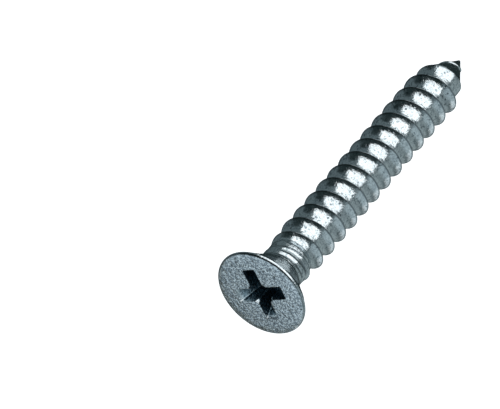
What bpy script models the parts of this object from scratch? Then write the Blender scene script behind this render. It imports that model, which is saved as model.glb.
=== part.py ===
"""Countersunk cross-recess wood screw, threaded along its whole shank.

A screw like this is headed and thread-rolled from one length of wire, so it is one solid:
a turned blank (head, neck, core and gimlet point), a helical thread ridge joined to it, and a
cross recess cut into the head.  Lengths are written in millimetres and turned into metres
by MM.  The origin is the centre of the flat head face, +Z points out of the head, and the
shank runs down -Z to the point.
"""

import math

import bmesh
import bpy
from mathutils import Matrix, Vector

MM = 0.001

# Head
HEAD_DIAMETER = 7.54
LAND_HEIGHT = 0.27
COUNTERSINK_ANGLE = math.radians(82.0)
NECK_DIAMETER = 3.57
NECK_FILLET = 0.90

# Shank, core and point
LENGTH = 31.20
ROOT_DIAMETER = 3.06
NECK_END_DEPTH = 4.30
NECK_TAPER_LENGTH = 0.70
POINT_LENGTH = 2.80
POINT_TIP_RADIUS = 0.06

# Thread
CREST_DIAMETER = 4.27
HEAD_END_CREST_DIAMETER = 4.17
PITCH = 1.738
CREST_FLAT = 0.10
FLANK_ANGLE = math.radians(30.0)
THREAD_START_DEPTH = 3.67
THREAD_RUN_IN_TURNS = 1.07
THREAD_POINT_LENGTH = 3.90
THREAD_POINT_POWER = 0.81
THREAD_TIP_GAP = 0.30
THREAD_RUN_OUT_TURNS = 0.5
THREAD_PHASE = math.radians(14.0)
RIDGE_EMBED = 0.22
STEPS_PER_TURN = 24

# Cross recess, with its wings along X and Y
RECESS_SPAN = 4.46
RECESS_WING_WIDTH = 1.13
RECESS_DEPTH = 2.30
RECESS_WING_TAPER = math.radians(26.5)
RECESS_SIDE_TAPER = math.radians(4.0)
RECESS_CORE_RADIUS = 1.02
RECESS_CORE_WALL = 1.90
RECESS_CORE_DEPTH = 2.55
CUTTER_RISE = 0.40

TURNED_SEGMENTS = 48

STEEL_COLOUR = (0.56, 0.60, 0.64, 1.0)
STEEL_ROUGHNESS = 0.32


def clear_scene():
    for scene_object in list(bpy.data.objects):
        bpy.data.objects.remove(scene_object, do_unlink=True)


def make_collection(name):
    collection = bpy.data.collections.new(name)
    bpy.context.scene.collection.children.link(collection)
    return collection


def zinc_plated_steel():
    material = bpy.data.materials.new("zinc_plated_steel")
    material.use_nodes = True
    shader = material.node_tree.nodes["Principled BSDF"]
    shader.inputs["Base Color"].default_value = STEEL_COLOUR
    shader.inputs["Metallic"].default_value = 1.0
    shader.inputs["Roughness"].default_value = STEEL_ROUGHNESS
    return material


def new_object(name, mesh, collection):
    made = bpy.data.objects.new(name, mesh)
    collection.objects.link(made)
    return made


def arc_points(centre, radius, start_angle, end_angle, count):
    """Points along an arc in the (radius, height) plane, both ends included."""
    points = []
    for index in range(count + 1):
        angle = start_angle + (end_angle - start_angle) * index / count
        points.append((centre[0] + radius * math.cos(angle), centre[1] + radius * math.sin(angle)))
    return points


def blank_profile():
    """Outline of the turned blank from the face's centre down its outer side to the tip."""
    half_angle = COUNTERSINK_ANGLE / 2
    head_radius = HEAD_DIAMETER / 2
    neck_radius = NECK_DIAMETER / 2
    root_radius = ROOT_DIAMETER / 2
    sharp_corner = LAND_HEIGHT + (head_radius - neck_radius) / math.tan(half_angle)
    tangent_length = NECK_FILLET * math.tan(half_angle / 2)
    fillet_centre = (neck_radius + NECK_FILLET, -(sharp_corner + tangent_length))
    fillet = arc_points(fillet_centre, NECK_FILLET, math.pi - half_angle, math.pi, 5)
    cone_start = -(LENGTH - POINT_LENGTH)
    return (
        [(0.0, 0.0), (head_radius, 0.0), (head_radius, -LAND_HEIGHT)]
        + fillet
        + [
            (neck_radius, -NECK_END_DEPTH),
            (root_radius, -(NECK_END_DEPTH + NECK_TAPER_LENGTH)),
            (root_radius, cone_start),
            (POINT_TIP_RADIUS, -LENGTH),
            (0.0, -LENGTH),
        ]
    )


def turned(name, profile, collection):
    """A solid of revolution about Z from a profile that runs down its outer side."""
    mesh = bpy.data.meshes.new(name)
    points = [(radius * MM, 0.0, height * MM) for radius, height in profile]
    edges = [(index, index + 1) for index in range(len(points) - 1)]
    mesh.from_pydata(points, edges, [])
    made = new_object(name, mesh, collection)
    screw = made.modifiers.new("Turn", 'SCREW')
    screw.axis = 'Z'
    screw.angle = math.tau
    screw.steps = TURNED_SEGMENTS
    screw.render_steps = TURNED_SEGMENTS
    screw.use_merge_vertices = True
    screw.merge_threshold = 0.000002
    return made


def core_radius(depth):
    """Radius of the blank below the neck, at a depth under the face."""
    cone_depth = LENGTH - POINT_LENGTH
    if depth <= cone_depth:
        return ROOT_DIAMETER / 2
    left = (LENGTH - depth) / POINT_LENGTH
    return POINT_TIP_RADIUS + (ROOT_DIAMETER / 2 - POINT_TIP_RADIUS) * left


def full_crest_radius(depth):
    """Crest radius before the run-in is applied: slightly smaller at the head, tapering at the point."""
    taper_depth = LENGTH - THREAD_POINT_LENGTH
    along = min(max((depth - THREAD_START_DEPTH) / (taper_depth - THREAD_START_DEPTH), 0.0), 1.0)
    diameter = HEAD_END_CREST_DIAMETER + (CREST_DIAMETER - HEAD_END_CREST_DIAMETER) * along
    if depth <= taper_depth:
        return diameter / 2
    left = max((LENGTH - depth) / THREAD_POINT_LENGTH, 0.0)
    return diameter / 2 * left ** THREAD_POINT_POWER


def crest_radius(depth, end_depth):
    """Crest radius with the ridge fading in below the head and fading out at the point."""
    core = core_radius(depth)
    height = full_crest_radius(depth) - core
    run_in = (depth - THREAD_START_DEPTH) / (THREAD_RUN_IN_TURNS * PITCH)
    run_out = (end_depth - depth) / (THREAD_RUN_OUT_TURNS * PITCH)
    fade = min(max(run_in, 0.0), max(run_out, 0.0), 1.0)
    buried = -0.5 * RIDGE_EMBED * (1 - fade)
    return core + height * fade + buried


def ridge_section(depth, end_depth):
    """Thread cross-section as (radius, height) corners: lower base, lower crest, upper crest, upper base."""
    crest = crest_radius(depth, end_depth)
    core = core_radius(depth)
    base = max(core - RIDGE_EMBED, 0.45 * core)
    base = min(base, crest - 0.02)
    crest_half = CREST_FLAT / 2
    base_half = crest_half + (crest - base) * math.tan(FLANK_ANGLE)
    return [
        (base, -depth - base_half),
        (crest, -depth - crest_half),
        (crest, -depth + crest_half),
        (base, -depth + base_half),
    ]


def thread_ridge(collection):
    """The right-hand helical ridge, lofted between its changing sections and capped at both ends."""
    end_depth = LENGTH - THREAD_TIP_GAP
    turns = (end_depth - THREAD_START_DEPTH) / PITCH
    count = round(turns * STEPS_PER_TURN)
    ridge = bmesh.new()
    rings = []
    for index in range(count + 1):
        depth = THREAD_START_DEPTH + (end_depth - THREAD_START_DEPTH) * index / count
        angle = THREAD_PHASE - math.tau * depth / PITCH
        ring = []
        for radius, height in ridge_section(depth, end_depth):
            place = Vector((radius * math.cos(angle), radius * math.sin(angle), height))
            ring.append(ridge.verts.new(place * MM))
        rings.append(ring)
    for ring, following in zip(rings, rings[1:]):
        for corner in range(4):
            beside = (corner + 1) % 4
            ridge.faces.new((ring[corner], ring[beside], following[beside], following[corner]))
    ridge.faces.new(list(reversed(rings[0])))
    ridge.faces.new(rings[-1])
    bmesh.ops.recalc_face_normals(ridge, faces=ridge.faces)
    mesh = bpy.data.meshes.new("thread_ridge")
    ridge.to_mesh(mesh)
    ridge.free()
    return new_object("thread_ridge", mesh, collection)


def wing_cutter(name, turn, collection):
    """One cross-recess wing pair: a block narrowing with depth along its length and across it."""
    height = RECESS_DEPTH + CUTTER_RISE
    cutter = bmesh.new()
    bmesh.ops.create_cube(cutter, size=1.0)
    for vert in cutter.verts:
        level = CUTTER_RISE if vert.co.z > 0 else -RECESS_DEPTH
        half_span = RECESS_SPAN / 2 + level * math.tan(RECESS_WING_TAPER)
        half_width = RECESS_WING_WIDTH / 2 + level * math.tan(RECESS_SIDE_TAPER)
        across = math.copysign(half_width, vert.co.y)
        vert.co = Vector((math.copysign(half_span, vert.co.x), across, level)) * MM
    bmesh.ops.rotate(cutter, verts=cutter.verts, matrix=Matrix.Rotation(turn, 3, 'Z'))
    mesh = bpy.data.meshes.new(name)
    cutter.to_mesh(mesh)
    cutter.free()
    return new_object(name, mesh, collection)


def recess_core_cutter(collection):
    """The recess's middle: a round tapered pit with a conical floor."""
    side_slope = math.tan(RECESS_SIDE_TAPER)
    top_radius = RECESS_CORE_RADIUS + CUTTER_RISE * side_slope
    floor_radius = RECESS_CORE_RADIUS - RECESS_CORE_WALL * side_slope
    profile = [
        (0.0, CUTTER_RISE),
        (top_radius, CUTTER_RISE),
        (floor_radius, -RECESS_CORE_WALL),
        (0.0, -RECESS_CORE_DEPTH),
    ]
    return turned("recess_core_cutter", profile, collection)


def use_boolean(target, operation, tool):
    boolean = target.modifiers.new(tool.name, 'BOOLEAN')
    boolean.operation = operation
    boolean.solver = 'EXACT'
    boolean.object = tool
    tool.hide_render = True
    tool.display_type = 'WIRE'


def build():
    clear_scene()
    part_collection = make_collection("wood_screw_part")
    tool_collection = make_collection("cutters")

    screw = turned("wood_screw", blank_profile(), part_collection)
    screw.data.materials.append(zinc_plated_steel())
    use_boolean(screw, 'UNION', thread_ridge(tool_collection))
    use_boolean(screw, 'DIFFERENCE', wing_cutter("wing_cutter_x", 0.0, tool_collection))
    use_boolean(screw, 'DIFFERENCE', wing_cutter("wing_cutter_y", math.pi / 2, tool_collection))
    use_boolean(screw, 'DIFFERENCE', recess_core_cutter(tool_collection))


build()
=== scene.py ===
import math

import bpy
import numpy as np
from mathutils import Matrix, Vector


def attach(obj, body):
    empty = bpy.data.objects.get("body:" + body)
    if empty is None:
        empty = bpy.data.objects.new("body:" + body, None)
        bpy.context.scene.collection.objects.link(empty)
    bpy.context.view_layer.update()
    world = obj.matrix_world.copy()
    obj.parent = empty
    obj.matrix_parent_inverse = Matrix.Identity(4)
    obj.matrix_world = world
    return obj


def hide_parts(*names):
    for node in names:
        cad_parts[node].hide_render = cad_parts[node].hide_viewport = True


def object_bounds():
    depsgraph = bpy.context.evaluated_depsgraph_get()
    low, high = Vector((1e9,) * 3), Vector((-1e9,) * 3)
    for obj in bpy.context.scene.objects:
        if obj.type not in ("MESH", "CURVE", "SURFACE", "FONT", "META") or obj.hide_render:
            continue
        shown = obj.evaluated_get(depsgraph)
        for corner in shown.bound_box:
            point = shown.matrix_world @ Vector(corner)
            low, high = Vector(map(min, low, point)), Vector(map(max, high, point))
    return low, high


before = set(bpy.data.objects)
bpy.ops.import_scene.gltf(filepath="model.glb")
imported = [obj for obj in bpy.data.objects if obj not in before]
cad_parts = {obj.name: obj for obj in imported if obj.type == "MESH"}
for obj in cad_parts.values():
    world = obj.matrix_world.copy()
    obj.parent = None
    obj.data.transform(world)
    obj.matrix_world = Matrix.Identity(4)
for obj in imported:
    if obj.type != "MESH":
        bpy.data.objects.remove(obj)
CAD_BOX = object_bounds()

# The looks of a countersunk cross-recess wood screw.  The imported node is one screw, so one fine
# mesh stands for it: a rolled thread with wide round hollows, rolling marks on the neck, a punched
# recess with soft corners, and bright zinc plating.  The screw's lengths are millimetres, turned
# into metres by MM.  The stage, the lights and the camera are placed in metres.  +Z points out of
# the head, the face's centre is the origin, and the shank runs down -Z.

MM = 0.001

# ---------------------------------------------------------------- head and blank
LENGTH = -CAD_BOX[0].z / MM
HEAD_RADIUS = CAD_BOX[1].x / MM
LAND_HEIGHT = 0.27
RIM_ROUND = 0.19
UNDER_ROUND = 0.03
FACE_CROWN = 0.050
FACE_CROWN_POWER = 3
STRUCK_DEPTH = 0.15  # the struck face's looks fade out over this depth
COUNTERSINK = math.tan(math.radians(41.0))
NECK_RADIUS = 1.785
NECK_BLEND = 0.24
NECK_BLEND_REACH = 1.0  # the cone's blend into the neck grows over this depth under the land
ROOT_RADIUS = 1.56
NECK_END = 4.30
NECK_TAPER = 0.70
POINT_LENGTH = 2.80
POINT_TIP = 0.06

# ---------------------------------------------------------------- thread
PITCH = 1.738
PHASE = math.radians(14.0)
CREST_RADIUS = 2.135
HEAD_END_CREST_RADIUS = 2.085
THREAD_START = 3.00
RUN_IN = 1.5 * PITCH
RUN_OUT = 0.5 * PITCH
CREST_TAPER = 3.90
CREST_TAPER_POWER = 0.81
THREAD_TIP_GAP = 0.30
TIP_FLANK_WIDTH = 0.20
FOOT_ROUND = 0.10
HOLLOW_WIDTH = 1.02
HOLLOW_RADIUS = 1.20
CREST_ROUND = 0.02

# Depth, height, width and middle angle of each mark that thread rolling leaves round the neck.
NECK_MARKS = [
    (2.84, 0.025, 0.09, math.radians(-62.0)),
    (3.05, -0.090, 0.08, math.radians(-77.0)),
    (3.30, 0.030, 0.09, math.radians(-66.0)),
    (3.56, -0.120, 0.10, math.radians(-71.0)),
]
MARK_TILT = 0.15
MARK_FADE_POWER = 6

# ---------------------------------------------------------------- lines of painted shade in the plating
CREST_SHADE_OFFSET = 0.02
CREST_SHADE_WIDTH = 0.07
CREST_SHADE_RIDGE = 0.3  # a ridge this high has its full line of painted shade
GROOVE_SHADE_DEPTH = 0.06  # a mark this deep has its full line of painted shade
RIM_SHADE_INSET = 0.06
RIM_SHADE_WIDTH = 0.05

# ---------------------------------------------------------------- cross recess
RECESS_HALF_SPAN = 2.23
RECESS_HALF_WING = 0.565
RECESS_NOSE = 1.00
RECESS_DEPTH = 2.30
RECESS_BOTTOM = 2.62
FLOOR_POWER = 1.5
END_TAPER = math.tan(math.radians(26.5))
SIDE_TAPER = math.tan(math.radians(4.0))
NOSE_FLARE = math.tan(math.radians(27.0))
NOSE_FLARE_DEPTH = 0.36
NOSE_TAPER = math.tan(math.radians(4.0))
CORNER_ROUND = 0.14
NOSE_ROUND = 0.12
ROUND_SHARE = 0.45  # a rounded corner takes at most this share of the run beside it
MOUTH_ROUND = 0.05

# ---------------------------------------------------------------- how finely it is made
COLUMNS = 120
ROWS_PER_TURN = 40
COLUMNS_PER_ROW = COLUMNS // ROWS_PER_TURN
CREST_CROWDING = 0.55
SHANK_TOP = -3.10
CONE_START = LAND_HEIGHT + 0.12
CONE_RINGS = 40
TIP_CAP = 0.10
TIP_RINGS = 6
EDGE_STEPS = 4
CORNER_STEPS = 8
RECESS_POINTS = 3 * COLUMNS
RECESS_LEVELS = 18
FLOOR_LEVELS = 10
FINE_FACE_RADIUS = 0.5 * (RECESS_HALF_SPAN + HEAD_RADIUS)
FINE_FACE_RINGS = 8
FACE_JOIN_WIDTH = 0.25


# ================================================================ shape of the blank and thread
def smooth_max(a, b, width):
    return 0.5 * (a + b + np.sqrt((a - b) ** 2 + width ** 2))


def core_radius(depth):
    """Radius of the unthreaded blank under the land, at a depth under the face."""
    cone = HEAD_RADIUS - (depth - LAND_HEIGHT) * COUNTERSINK
    narrowing = np.clip((depth - NECK_END) / NECK_TAPER, 0, 1)
    narrowing = narrowing ** 2 * (3 - 2 * narrowing)
    neck = NECK_RADIUS + (ROOT_RADIUS - NECK_RADIUS) * narrowing
    under_land = np.clip((depth - LAND_HEIGHT) / NECK_BLEND_REACH, 0, 1)
    blank = smooth_max(cone, neck, NECK_BLEND * under_land)
    left = np.clip((LENGTH - depth) / POINT_LENGTH, 0, 1)
    point = POINT_TIP + (ROOT_RADIUS - POINT_TIP) * left
    return np.where(depth > LENGTH - POINT_LENGTH, point, blank)


def neck_marks(angle, depth):
    """Height of the rolling marks: fine tilted rings on the neck that fade in and out round it."""
    raised = np.zeros_like(depth)
    for mark_depth, height, width, middle in NECK_MARKS:
        away = (depth - mark_depth + MARK_TILT * np.sin(angle - middle)) / width
        fade = (0.5 + 0.5 * np.cos(angle - middle)) ** MARK_FADE_POWER
        raised = raised + height * np.exp(-(away ** 2)) * fade
    return raised


def full_crest_radius(depth):
    taper_depth = LENGTH - CREST_TAPER
    along = np.clip((depth - THREAD_START) / (taper_depth - THREAD_START), 0, 1)
    radius = HEAD_END_CREST_RADIUS + (CREST_RADIUS - HEAD_END_CREST_RADIUS) * along
    left = np.clip((LENGTH - depth) / CREST_TAPER, 0, 1)
    return radius * left ** CREST_TAPER_POWER


def from_crest(angle, height):
    """Height above the nearest turn's crest line, between minus and plus half a pitch."""
    crest_height = PITCH * (angle - PHASE) / math.tau
    return (height - crest_height + PITCH / 2) % PITCH - PITCH / 2


def crest_radius(crest_depth):
    """Crest radius with the ridge rising out of the neck and sinking into the point."""
    run_in = (crest_depth - THREAD_START) / RUN_IN
    run_out = (LENGTH - THREAD_TIP_GAP - crest_depth) / RUN_OUT
    fade = np.clip(np.minimum(run_in, run_out), 0, 1)
    core = core_radius(np.clip(crest_depth, 0, LENGTH))
    return core + (full_crest_radius(crest_depth) - core) * fade


def blunted(distance):
    """A distance from the crest line that starts gently, which rounds the crest."""
    return np.sqrt(distance ** 2 + CREST_ROUND ** 2) - CREST_ROUND


def tip_flank(below):
    """Share of the thread's depth left at a distance under a crest: a steep, straight flank."""
    return np.clip(smooth_max(1 - blunted(below) / TIP_FLANK_WIDTH, 0, FOOT_ROUND), 0, 1)


def head_flank(above):
    """The same above a crest: a wide round hollow that steepens towards the crest."""
    away = np.clip(HOLLOW_WIDTH - blunted(above), 0, HOLLOW_WIDTH)
    full = HOLLOW_RADIUS - math.sqrt(HOLLOW_RADIUS ** 2 - HOLLOW_WIDTH ** 2)
    return (HOLLOW_RADIUS - np.sqrt(HOLLOW_RADIUS ** 2 - away ** 2)) / full


def surface_radius(angle, height):
    """Radius of the shank's skin, thread included.

    Under a crest line the ridge starts from the radius at that line.  On the cone that radius is
    wider than the core below it, which leaves a faint ledge about 0.05 mm high.
    """
    depth = -height
    below = -from_crest(angle, height) % PITCH
    core = core_radius(depth) + neck_marks(angle, depth)
    over = np.maximum(crest_radius(depth - below) - core, 0) * tip_flank(below)
    under = np.maximum(crest_radius(depth + PITCH - below) - core, 0) * head_flank(PITCH - below)
    skin = core + np.maximum(over, under)
    rounding = np.clip((depth - (LENGTH - TIP_CAP)) / TIP_CAP, 0, 1)
    return skin * np.sqrt(1 - rounding ** 2)


def face_height(radius):
    """The head's face is flat in the middle and falls away very slightly towards the rim."""
    return -FACE_CROWN * (radius / HEAD_RADIUS) ** FACE_CROWN_POWER


# ================================================================ where the lines of painted shade run
def crest_painted_shade(angle, height):
    """Painted shade along the thread's crest: one on the crest and nought away from it."""
    above = from_crest(angle, height)
    crest_depth = above - height
    ridge = crest_radius(crest_depth) - core_radius(np.clip(crest_depth, 0, LENGTH))
    near = np.exp(-((above - CREST_SHADE_OFFSET) / CREST_SHADE_WIDTH) ** 2)
    return near * np.clip(ridge / CREST_SHADE_RIDGE, 0, 1)


def groove_painted_shade(angle, height):
    """Painted shade along the deepest part of the marks round the neck: one there."""
    return np.clip(-neck_marks(angle, -height) / GROOVE_SHADE_DEPTH, 0, 1)


def rim_painted_shade(radius, height):
    """Painted shade along the line where the struck face meets the land: one there."""
    near = np.exp(-(((HEAD_RADIUS - RIM_SHADE_INSET - radius) / RIM_SHADE_WIDTH) ** 2))
    return np.where(height > -STRUCK_DEPTH, near, 0.0)


# ================================================================ the mesh
class Skin:
    """Vertices and faces of the growing mesh, each vertex at an angle, radius and height."""

    def __init__(self):
        self.angles = []
        self.radii = []
        self.heights = []
        self.inside = []
        self.faces = []

    def add(self, angle, radius, height, inside=False):
        """A vertex.  Without a radius it lies on the shank's skin.  Inside means in the recess."""
        self.angles.append(angle)
        self.radii.append(math.nan if radius is None else radius)
        self.heights.append(height)
        self.inside.append(inside)
        return len(self.angles) - 1

    def ring(self, radius, height):
        return [self.add(column_angle(column), radius, height) for column in range(COLUMNS)]

    def face(self, *corners):
        kept = [corner for index, corner in enumerate(corners) if corner != corners[index - 1]]
        if len(kept) > 2:
            self.faces.append(kept)

    def band(self, upper, lower):
        """Quads between two closed rings of the same size."""
        for index in range(len(upper)):
            after = (index + 1) % len(upper)
            self.face(upper[index], upper[after], lower[after], lower[index])

    def following(self, ring, radius, height):
        """A new ring, joined to the ring above it."""
        lower = self.ring(radius, height)
        self.band(ring, lower)
        return lower

    def arrays(self):
        return np.array(self.angles), np.array(self.radii), np.array(self.heights)

    def points(self):
        angles, radii, heights = self.arrays()
        on_shank = np.isnan(radii)
        radii[on_shank] = surface_radius(angles[on_shank], heights[on_shank])
        return np.stack([radii * np.cos(angles), radii * np.sin(angles), heights], axis=1)

    def painted_shade_lines(self):
        """How far each vertex lies in one of the lines of painted shade on the crest, the neck marks and
        the face's rim.
        """
        angles, radii, heights = self.arrays()
        shank = np.maximum(crest_painted_shade(angles, heights), groove_painted_shade(angles, heights))
        return np.where(np.isnan(radii), shank, rim_painted_shade(radii, heights))


def column_angle(column):
    return PHASE - math.tau * column / COLUMNS


def quarter_turn():
    """Sine and one-minus-cosine at each step of a rounded edge, from nought to a right angle."""
    turns = [math.pi / 2 * step / EDGE_STEPS for step in range(EDGE_STEPS + 1)]
    return [(math.sin(turn), 1 - math.cos(turn)) for turn in turns]


def add_shank(skin):
    """The threaded shank, from SHANK_TOP down to the point.

    Rows follow the thread: once round, a row has climbed down by ROWS_PER_TURN rows and becomes
    the next turn's row.  Terraces of level rows join the first and last turn to level rings.
    Returns the first ring and the last.
    """
    step = PITCH / ROWS_PER_TURN
    last = int((LENGTH - TIP_CAP + SHANK_TOP) / step) - ROWS_PER_TURN
    rows = {}
    first_ring = {}
    last_ring = {}

    def row_height(column, row):
        """Rows are drawn towards the crest, except in the first turn and the last."""
        climbed = row + column / COLUMNS_PER_ROW
        height = SHANK_TOP - step * climbed
        inside = min(climbed, last + ROWS_PER_TURN - climbed) / ROWS_PER_TURN - 1
        amount = CREST_CROWDING * min(max(inside, 0.0), 1.0)
        above = from_crest(column_angle(column), height)
        return height - amount * PITCH / math.tau * math.sin(math.tau * above / PITCH)

    for column in range(COLUMNS):
        angle = column_angle(column)
        for row in range(last + 1):
            rows[column, row] = skin.add(angle, None, row_height(column, row))
        for level in range(ROWS_PER_TURN + 1):
            if column > COLUMNS_PER_ROW * level:
                first_ring[column, level] = skin.add(angle, None, SHANK_TOP - step * level)
            if column < COLUMNS_PER_ROW * level:
                last_ring[column, level] = skin.add(angle, None, SHANK_TOP - step * (last + level))

    def low(column, level):
        """Vertex of a level row under the last turn."""
        column %= COLUMNS
        on_last_row = column == COLUMNS_PER_ROW * level
        return rows[column, last] if on_last_row else last_ring[column, level]

    def turn(column, row):
        """Vertex of a row that follows the thread.  Past the last column the next turn starts."""
        if column == COLUMNS:
            column, row = 0, row + ROWS_PER_TURN
        return rows[column, row] if row <= last else low(column, row - last)

    def high(column, level):
        """Vertex of a level row above the first turn."""
        if column == COLUMNS:
            return turn(0, level)
        on_first_row = column == COLUMNS_PER_ROW * level
        return rows[column, 0] if on_first_row else first_ring[column, level]

    def quad(vertex, column, level):
        """Face whose corners are four neighbours in one of the three grids above."""
        beside, under = column + 1, level + 1
        upper = vertex(column, level), vertex(beside, level)
        skin.face(*upper, vertex(beside, under), vertex(column, under))

    for column in range(COLUMNS):
        beside = column + 1
        front = column // COLUMNS_PER_ROW
        for level in range(front):
            quad(high, column, level)
        skin.face(high(column, front), high(beside, front), turn(beside, 0), turn(column, 0))
        for row in range(last):
            quad(turn, column, row)
        lower = low(beside, front + 1), low(column, front + 1)
        skin.face(turn(column, last), turn(beside, last), *lower)
        for level in range(front + 1, ROWS_PER_TURN):
            quad(low, column, level)
    first = [high(column, 0) for column in range(COLUMNS)]
    final = [low(column, ROWS_PER_TURN) for column in range(COLUMNS)]
    return first, final


def add_tip(skin, ring):
    """Closes the point with a small rounded cap."""
    for index in range(1, TIP_RINGS):
        depth = LENGTH - TIP_CAP + TIP_CAP * math.sin(math.pi / 2 * index / TIP_RINGS)
        ring = skin.following(ring, None, -depth)
    pole = skin.add(0.0, 0.0, -LENGTH)
    for index in range(COLUMNS):
        skin.face(ring[index], ring[(index + 1) % COLUMNS], pole)


def add_head(skin, face_ring, shank_ring):
    """The rounded rim, the land, the countersink and the upper neck, from face to shank."""
    rim = face_height(HEAD_RADIUS)
    ring = face_ring
    for out, drop in quarter_turn():
        ring = skin.following(ring, HEAD_RADIUS - RIM_ROUND * (1 - out), rim - RIM_ROUND * drop)
    turned = math.pi / 2 - math.atan(COUNTERSINK)
    land_end = LAND_HEIGHT - UNDER_ROUND * math.tan(turned / 2)
    for index in range(EDGE_STEPS + 1):
        turn = turned * index / EDGE_STEPS
        radius = HEAD_RADIUS - UNDER_ROUND * (1 - math.cos(turn))
        ring = skin.following(ring, radius, -land_end - UNDER_ROUND * math.sin(turn))
    for index in range(CONE_RINGS):
        depth = CONE_START + (-SHANK_TOP - CONE_START) * index / CONE_RINGS
        ring = skin.following(ring, None, -depth)
    skin.band(ring, shank_ring)


# ================================================================ the cross recess
def rounded_quadrant(half_span, half_wing, nose):
    """Outline points from the +X wing's middle to the +Y wing's middle, its corners rounded."""
    nose_corner = nose * math.sqrt(2) - half_wing
    corners = [
        (Vector((half_span, 0.0)), 0.0),
        (Vector((half_span, half_wing)), CORNER_ROUND),
        (Vector((nose_corner, half_wing)), NOSE_ROUND),
        (Vector((half_wing, nose_corner)), NOSE_ROUND),
        (Vector((half_wing, half_span)), CORNER_ROUND),
        (Vector((0.0, half_span)), 0.0),
    ]
    points = [corners[0][0]]
    for (before, _), (corner, size), (after, _) in zip(corners, corners[1:], corners[2:]):
        inward = before - corner
        onward = after - corner
        reach = min(size, ROUND_SHARE * inward.length, ROUND_SHARE * onward.length)
        for index in range(CORNER_STEPS + 1):
            share = index / CORNER_STEPS
            start = corner + inward.normalized() * reach * (1 - share)
            end = corner + onward.normalized() * reach * share
            points.append(start.lerp(end, share))
    points.append(corners[-1][0])
    return points


def recess_outline(half_span, half_wing, nose):
    """The cross as RECESS_POINTS points, evenly spaced in each quadrant, in the columns' order."""
    track = np.array([tuple(point) for point in rounded_quadrant(half_span, half_wing, nose)])
    run = np.concatenate([[0.0], np.cumsum(np.hypot(*np.diff(track, axis=0).T))])
    share = ((PHASE / math.tau - np.arange(RECESS_POINTS) / RECESS_POINTS) * 4) % 4
    turns = share.astype(int)
    along = (share - turns) * run[-1]
    x = np.interp(along, run, track[:, 0])
    y = np.interp(along, run, track[:, 1])
    return np.arctan2(y, x) + turns * math.pi / 2, np.hypot(x, y)


def nose_at(depth):
    """Distance of the cross's four inner corners from the axis: they lean back at the mouth."""
    flared = min(depth, NOSE_FLARE_DEPTH)
    return RECESS_NOSE - flared * NOSE_FLARE - (depth - flared) * NOSE_TAPER


def recess_loops(skin):
    """Loops of vertices down the recess: its rounded mouth, its walls and its floor."""

    def loop(half_span, half_wing, nose, depth):
        outline = zip(*recess_outline(half_span, half_wing, nose))
        return [skin.add(angle, radius, -depth, True) for angle, radius in outline]

    def section(depth):
        """Half span, half wing and nose of the cross at a depth."""
        span = RECESS_HALF_SPAN - depth * END_TAPER
        return span, RECESS_HALF_WING - depth * SIDE_TAPER, nose_at(depth)

    loops = []
    for inward, drop in quarter_turn():
        spread = MOUTH_ROUND * (1 - inward)
        mouth = RECESS_HALF_SPAN + spread, RECESS_HALF_WING + spread, RECESS_NOSE + spread
        loops.append(loop(*mouth, MOUTH_ROUND * drop))
    for index in range(1, RECESS_LEVELS + 1):
        depth = MOUTH_ROUND + (RECESS_DEPTH - MOUTH_ROUND) * index / RECESS_LEVELS
        loops.append(loop(*section(depth), depth))
    for index in range(1, FLOOR_LEVELS):
        share = 1 - index / FLOOR_LEVELS
        depth = RECESS_BOTTOM - (RECESS_BOTTOM - RECESS_DEPTH) * share ** FLOOR_POWER
        loops.append(loop(*(size * share for size in section(RECESS_DEPTH)), depth))
    return loops


def add_recess(skin):
    """The recess, and the face round its mouth.  Returns the face's outer fine ring."""
    loops = recess_loops(skin)
    for upper, lower in zip(loops, loops[1:]):
        skin.band(lower, upper)
    pole = skin.add(0.0, 0.0, -RECESS_BOTTOM, True)
    for index in range(RECESS_POINTS):
        skin.face(loops[-1][(index + 1) % RECESS_POINTS], loops[-1][index], pole)

    mouth = [size + MOUTH_ROUND for size in (RECESS_HALF_SPAN, RECESS_HALF_WING, RECESS_NOSE)]
    mouth_angles, mouth_radii = recess_outline(*mouth)
    inner = loops[0]
    for index in range(1, FINE_FACE_RINGS + 1):
        share = index / FINE_FACE_RINGS
        ring = []
        for point in range(RECESS_POINTS):
            even = PHASE - math.tau * point / RECESS_POINTS
            lag = (mouth_angles[point] - even + math.pi) % math.tau - math.pi
            radius = mouth_radii[point] + (FINE_FACE_RADIUS - mouth_radii[point]) * share
            ring.append(skin.add(even + lag * (1 - share), radius, face_height(radius)))
        skin.band(inner, ring)
        inner = ring
    return inner


def add_face(skin, fine_ring):
    """Joins the fine ring round the recess to a ring of COLUMNS points near the rim."""
    radius = FINE_FACE_RADIUS + FACE_JOIN_WIDTH
    ring = skin.ring(radius, face_height(radius))
    ratio = RECESS_POINTS // COLUMNS
    for column in range(COLUMNS):
        start = column * ratio
        between = [fine_ring[(start + step) % RECESS_POINTS] for step in range(ratio + 1)]
        skin.face(ring[(column + 1) % COLUMNS], ring[column], *between)
    return ring


def attribute_of_points(mesh, name, values):
    attribute = mesh.attributes.new(name, "FLOAT", "POINT")
    attribute.data.foreach_set("value", values)


def linked_object(name, data):
    made = bpy.data.objects.new(name, data)
    bpy.context.scene.collection.objects.link(made)
    return made


def make_screw():
    skin = Skin()
    shank_first, shank_last = add_shank(skin)
    add_tip(skin, shank_last)
    add_head(skin, add_face(skin, add_recess(skin)), shank_first)
    mesh = bpy.data.meshes.new("plated_screw")
    mesh.from_pydata((skin.points() * MM).tolist(), [], skin.faces)
    heights = np.array(skin.heights)
    attribute_of_points(mesh, "recess_depth", np.where(skin.inside, -heights, 0.0))
    attribute_of_points(mesh, "struck_face", np.clip(1 + heights / STRUCK_DEPTH, 0, 1))
    # Painted shade: lines darkened along the thread's crests, the neck marks and the face's rim.
    attribute_of_points(mesh, "painted_shade_line", skin.painted_shade_lines())
    mesh.shade_smooth()
    return linked_object("plated_screw", mesh)


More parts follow.
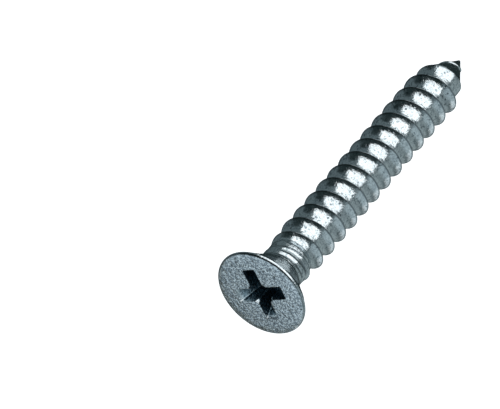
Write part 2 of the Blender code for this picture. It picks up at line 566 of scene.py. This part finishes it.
# ================================================================ shader nodes
class NodeMaker:
    """Adds nodes to a tree.  A value given to an input is linked if it is a socket, or else set."""

    def __init__(self, tree):
        self.tree = tree

    def feed(self, socket, value):
        if isinstance(value, bpy.types.NodeSocket):
            self.tree.links.new(value, socket)
        else:
            socket.default_value = value

    def node(self, kind, inputs, **settings):
        made = self.tree.nodes.new("ShaderNode" + kind)
        for name, value in settings.items():
            setattr(made, name, value)
        for name, value in inputs.items():
            self.feed(made.inputs[name], value)
        return made

    def noise(self, vector, scale, detail, roughness=0.5):
        inputs = {"Vector": vector, "Scale": scale, "Detail": detail, "Roughness": roughness}
        return self.node("TexNoise", inputs).outputs["Fac"]

    def fade(self, source, low, high, to_low=0.0, to_high=1.0):
        """Goes smoothly from to_low to to_high while the source goes from low to high."""
        inputs = {"Value": source, "From Min": low, "From Max": high, "To Min": to_low, "To Max": to_high}
        return self.node("MapRange", inputs, interpolation_type="SMOOTHSTEP").outputs["Result"]

    def combine(self, operation, first, second):
        return self.node("Math", {0: first, 1: second}, operation=operation).outputs["Value"]

    def mix(self, share, under, over):
        """Colour that turns from under to over as the share goes from nought to one."""
        under, over = ((*value, 1.0) if isinstance(value, tuple) else value for value in (under, over))
        return self.node("Mix", {0: share, 6: under, 7: over}, data_type="RGBA").outputs[2]

    def attribute(self, name):
        return self.node("Attribute", {}, attribute_name=name).outputs["Fac"]


# ================================================================ the zinc plating
# Texture scales are in cells to the metre, so 1000 makes cells of a millimetre.
PATCH_SCALE = 900.0
PIT_SCALE = 2200.0
MOTTLE_SCALE = 3000.0
BLOTCH_SCALE = 4300.0
GRAIN_SCALE = 7500.0
BUMP_DISTANCE = 0.000030
PIT_BUMP = 0.4

# Where each look starts and ends along its pattern, and what it goes from and to between them.
PATCH_FADE = (0.38, 0.62, 0.0, 1.0)
MOTTLE_FADE = (0.52, 0.75, 0.0, 0.7)
PIT_FADE = (0.10, 0.28, 1.0, 0.0)
PIT_PATCH_FADE = (0.38, 0.56, 0.15, 1.0)
BLOTCH_FADE = (0.575, 0.645, 0.0, 0.8)
GRAIN_FADE = (0.43, 0.57, 0.0, 1.0)
FACE_GRAIN_FADE = (0.0, 1.0, 0.25, 1.0)
FACE_BUMP_FADE = (0.0, 1.0, 0.10, 0.35)
RECESS_SHADE_FADE = (0.04, 0.45, 0.0, 1.0)
LINE_PAINTED_SHADE_FADE = (0.2, 0.9, 0.0, 0.8)
ROUGHNESS_FADE = (0.3, 0.7, 0.115, 0.23)

ZINC = (0.70, 0.76, 0.78)
DULL_ZINC = (0.62, 0.68, 0.71)
MOTTLE = (0.44, 0.50, 0.53)
PIT = (0.10, 0.13, 0.15)
BLOTCH = (0.22, 0.28, 0.30)
GRAIN = (0.20, 0.24, 0.27)
# Painted shade: the recess walls darken towards this colour with depth.
RECESS_PAINTED_SHADE = (0.24, 0.31, 0.35)
# Painted shade: the colour of the dark lines along the crests, the neck marks and the rim.
LINE_PAINTED_SHADE = (0.12, 0.15, 0.16)


def zinc_plating():
    """Bright zinc plate: cool grey metal, mottled at three scales, with fine grain and pits, and with
    painted shade deep in the recess and along the crests, the neck marks and the rim.
    """
    material = bpy.data.materials.new("zinc_plating")
    material.use_nodes = True
    shader = material.node_tree.nodes["Principled BSDF"]
    nodes = NodeMaker(material.node_tree)
    place = nodes.node("TexCoord", {}).outputs["Object"]
    patches = nodes.noise(place, PATCH_SCALE, 3.0)
    mottle = nodes.noise(place, MOTTLE_SCALE, 3.0, 0.55)
    blotches = nodes.noise(place, BLOTCH_SCALE, 2.0, 0.65)
    grain = nodes.noise(place, GRAIN_SCALE, 1.0, 0.6)
    to_pit = nodes.node("TexVoronoi", {"Vector": place, "Scale": PIT_SCALE}).outputs["Distance"]
    in_patches = nodes.fade(patches, *PIT_PATCH_FADE)
    pits = nodes.combine("MULTIPLY", nodes.fade(to_pit, *PIT_FADE), in_patches)
    struck = nodes.attribute("struck_face")
    on_face = nodes.fade(struck, *FACE_GRAIN_FADE)
    grainy = nodes.combine("MULTIPLY", nodes.fade(grain, *GRAIN_FADE), on_face)

    colour = nodes.mix(nodes.fade(patches, *PATCH_FADE), ZINC, DULL_ZINC)
    colour = nodes.mix(nodes.fade(mottle, *MOTTLE_FADE), colour, MOTTLE)
    colour = nodes.mix(pits, colour, PIT)
    colour = nodes.mix(nodes.fade(blotches, *BLOTCH_FADE), colour, BLOTCH)
    colour = nodes.mix(grainy, colour, GRAIN)
    # Painted shade: the recess darkens with depth.
    colour = nodes.mix(nodes.fade(nodes.attribute("recess_depth"), *RECESS_SHADE_FADE), colour, RECESS_PAINTED_SHADE)
    # Painted shade along the crests, the neck marks and the face's rim.
    colour = nodes.mix(nodes.fade(nodes.attribute("painted_shade_line"), *LINE_PAINTED_SHADE_FADE), colour, LINE_PAINTED_SHADE)

    grain_height = nodes.combine("MULTIPLY", grain, nodes.fade(struck, *FACE_BUMP_FADE))
    height = nodes.combine("ADD", mottle, grain_height)
    height = nodes.combine("SUBTRACT", height, nodes.combine("MULTIPLY", pits, PIT_BUMP))
    bump = nodes.node("Bump", {"Strength": 1.0, "Distance": BUMP_DISTANCE, "Height": height})
    nodes.feed(shader.inputs["Metallic"], 1.0)
    nodes.feed(shader.inputs["Base Color"], colour)
    nodes.feed(shader.inputs["Roughness"], nodes.fade(mottle, *ROUGHNESS_FADE))
    nodes.feed(shader.inputs["Normal"], bump.outputs["Normal"])
    return material


# ================================================================ stage
FLOOR_HEIGHT = -0.045
FLOOR_RADIUS = 0.6
FLOOR_RINGS = 4
SWEEP_RADIUS = 0.3
SWEEP_STEPS = 12
WALL_TOP = 1.0
BACKDROP_SIDES = 96


def white_paper():
    """Plain matt paper, lit evenly by its own glow so that it stays pale from every side."""
    paper = bpy.data.materials.new("white_paper")
    paper.use_nodes = True
    shader = paper.node_tree.nodes["Principled BSDF"]
    shader.inputs["Base Color"].default_value = (0.8, 0.8, 0.8, 1.0)
    shader.inputs["Roughness"].default_value = 0.9
    shader.inputs["Emission Color"].default_value = (0.98, 0.99, 1.0, 1.0)
    shader.inputs["Emission Strength"].default_value = 0.95
    return paper


def backdrop():
    """A pale floor under the screw that sweeps up into a round wall."""
    profile = [(FLOOR_RADIUS * ring / FLOOR_RINGS, FLOOR_HEIGHT) for ring in range(1, FLOOR_RINGS + 1)]
    for step in range(1, SWEEP_STEPS + 1):
        turn = math.pi / 2 * step / SWEEP_STEPS
        radius = FLOOR_RADIUS + SWEEP_RADIUS * math.sin(turn)
        profile.append((radius, FLOOR_HEIGHT + SWEEP_RADIUS * (1 - math.cos(turn))))
    profile.append((FLOOR_RADIUS + SWEEP_RADIUS, WALL_TOP))
    points = [(0.0, 0.0, FLOOR_HEIGHT)]
    for radius, height in profile:
        for side in range(BACKDROP_SIDES):
            angle = math.tau * side / BACKDROP_SIDES
            points.append((radius * math.cos(angle), radius * math.sin(angle), height))
    faces = [(0, 1 + side, 1 + (side + 1) % BACKDROP_SIDES) for side in range(BACKDROP_SIDES)]
    for ring in range(len(profile) - 1):
        inner = 1 + ring * BACKDROP_SIDES
        outer = inner + BACKDROP_SIDES
        for side in range(BACKDROP_SIDES):
            beside = (side + 1) % BACKDROP_SIDES
            faces.append((inner + side, outer + side, outer + beside, inner + beside))
    mesh = bpy.data.meshes.new("backdrop")
    mesh.from_pydata(points, [], faces)
    mesh.shade_smooth()
    mesh.materials.append(white_paper())
    stage = linked_object("backdrop", mesh)
    stage.visible_glossy = False
    stage.visible_diffuse = False
    stage.visible_shadow = False


# ================================================================ light
SOFTBOX_DISTANCE = 0.60

BLACK = (0.020, 0.032, 0.033)
SHADE = (0.12, 0.155, 0.165)
HORIZON = (0.14, 0.175, 0.18)
SIDE_HORIZON = (0.26, 0.31, 0.32)
TABLE = (0.33, 0.39, 0.40)
CEILING = (0.42, 0.50, 0.53)
PANEL_FOOT = (0.16, 0.175, 0.165)
PANEL = (0.66, 0.77, 0.84)

# How high each part of the room starts and ends, as the sine of its elevation.
TABLE_EDGE = (-0.45, -0.25)
CEILING_EDGE = (-0.05, 0.22)
PANEL_EDGE = (0.55, 0.645)

# The shaded half: its direction, and the cosines of the angles from there where it starts and ends.
SHADE_MIDDLE = (2.0, 0.0)
SHADE_EDGE = (-0.32, -0.16)

# Angle and elevation of an area's middle, then how many degrees from there it is whole and ends.
# The dark areas are high over +X, low over +X, straight underneath and under the far side.
SIDE_AREA = (-135.0, -8.0, 15.0, 42.0)
PANEL_AREA = (118.0, 38.0, 14.0, 44.0)
DARK_AREAS = [
    (-8.0, 56.0, 36.0, 56.0),
    (26.0, 8.0, 9.0, 24.0),
    (0.0, -90.0, 20.0, 42.0),
    (115.0, -60.0, 14.0, 40.0),
]


def direction(angle, elevation):
    """Unit vector at an angle round from +X and an elevation above the horizon, in degrees."""
    angle, elevation = math.radians(angle), math.radians(elevation)
    level = math.cos(elevation)
    return Vector((math.cos(angle) * level, math.sin(angle) * level, math.sin(elevation)))


def softbox(name, aim, width, height, power):
    """A rectangular area light that faces the screw's middle from the direction aim."""
    light = bpy.data.lights.new(name, "AREA")
    light.shape = "RECTANGLE"
    light.size = width
    light.size_y = height
    light.energy = power
    lamp = linked_object(name, light)
    lamp.location = (CAD_BOX[0] + CAD_BOX[1]) / 2 + aim * SOFTBOX_DISTANCE
    lamp.rotation_euler = aim.to_track_quat("Z", "Y").to_euler()
    lamp.visible_camera = False


def room():
    """The room that the plating reflects.

    A grey table and ceiling, and between them a dark horizon with a lighter part.  The +X half is
    in shade.  A pale panel with a dark foot stands where the camera sees it in the head's face.
    The dark areas come last, over all of them.
    """
    world = bpy.data.worlds.new("room")
    bpy.context.scene.world = world
    world.use_nodes = True
    nodes = NodeMaker(world.node_tree)
    towards = nodes.node("TexCoord", {}).outputs["Generated"]

    def facing(aim):
        """Cosine of the angle from the direction aim."""
        inputs = {0: towards, 1: aim}
        return nodes.node("VectorMath", inputs, operation="DOT_PRODUCT").outputs["Value"]

    def lobe(angle, elevation, near, far):
        """One inside near degrees of a direction, nought outside far degrees."""
        low, high = math.cos(math.radians(far)), math.cos(math.radians(near))
        return nodes.fade(facing(direction(angle, elevation)), low, high)

    height = facing(Vector((0.0, 0.0, 1.0)))
    colour = nodes.mix(nodes.fade(height, *TABLE_EDGE), TABLE, HORIZON)
    colour = nodes.mix(lobe(*SIDE_AREA), colour, SIDE_HORIZON)
    colour = nodes.mix(nodes.fade(height, *CEILING_EDGE), colour, CEILING)
    colour = nodes.mix(nodes.fade(facing(direction(*SHADE_MIDDLE)), *SHADE_EDGE), colour, SHADE)
    panel = nodes.mix(nodes.fade(height, *PANEL_EDGE), PANEL_FOOT, PANEL)
    colour = nodes.mix(lobe(*PANEL_AREA), colour, panel)
    for area in DARK_AREAS:
        colour = nodes.mix(lobe(*area), colour, BLACK)
    nodes.feed(world.node_tree.nodes["Background"].inputs["Color"], colour)


# ================================================================ camera
CAMERA_ANGLE = -58.0
CAMERA_ELEVATION = 39.70
CAMERA_ROLL = math.radians(-138.87)
CAMERA_DISTANCE = 0.3709
CAMERA_RIGHT = -0.757 * MM
CAMERA_UP = 6.743 * MM
CAMERA_LENS = 356.8


def make_camera():
    """Looks down on the head from one side, rolled so that the shank runs up to the right."""
    back = direction(CAMERA_ANGLE, CAMERA_ELEVATION)
    level_right = direction(CAMERA_ANGLE + 90.0, 0.0)
    level_up = back.cross(level_right)
    right = level_right * math.cos(CAMERA_ROLL) + level_up * math.sin(CAMERA_ROLL)
    up = level_up * math.cos(CAMERA_ROLL) - level_right * math.sin(CAMERA_ROLL)
    data = bpy.data.cameras.new("camera")
    data.lens = CAMERA_LENS
    data.clip_start = 0.01
    data.clip_end = 20.0
    camera = linked_object("camera", data)
    camera.matrix_world = Matrix((right, up, back)).transposed().to_4x4()
    camera.location = back * CAMERA_DISTANCE + right * CAMERA_RIGHT + up * CAMERA_UP
    bpy.context.scene.camera = camera


screw = make_screw()
screw.data.materials.append(zinc_plating())
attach(screw, "root")
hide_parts("wood_screw")

backdrop()
softbox("key_softbox", direction(-48.5, -4.5), width=1.15, height=1.03, power=5.7)
softbox("fill_softbox", direction(168.0, 14.0), width=0.50, height=0.44, power=0.26)
room()
make_camera()
bpy.context.scene.view_settings.view_transform = "Standard"
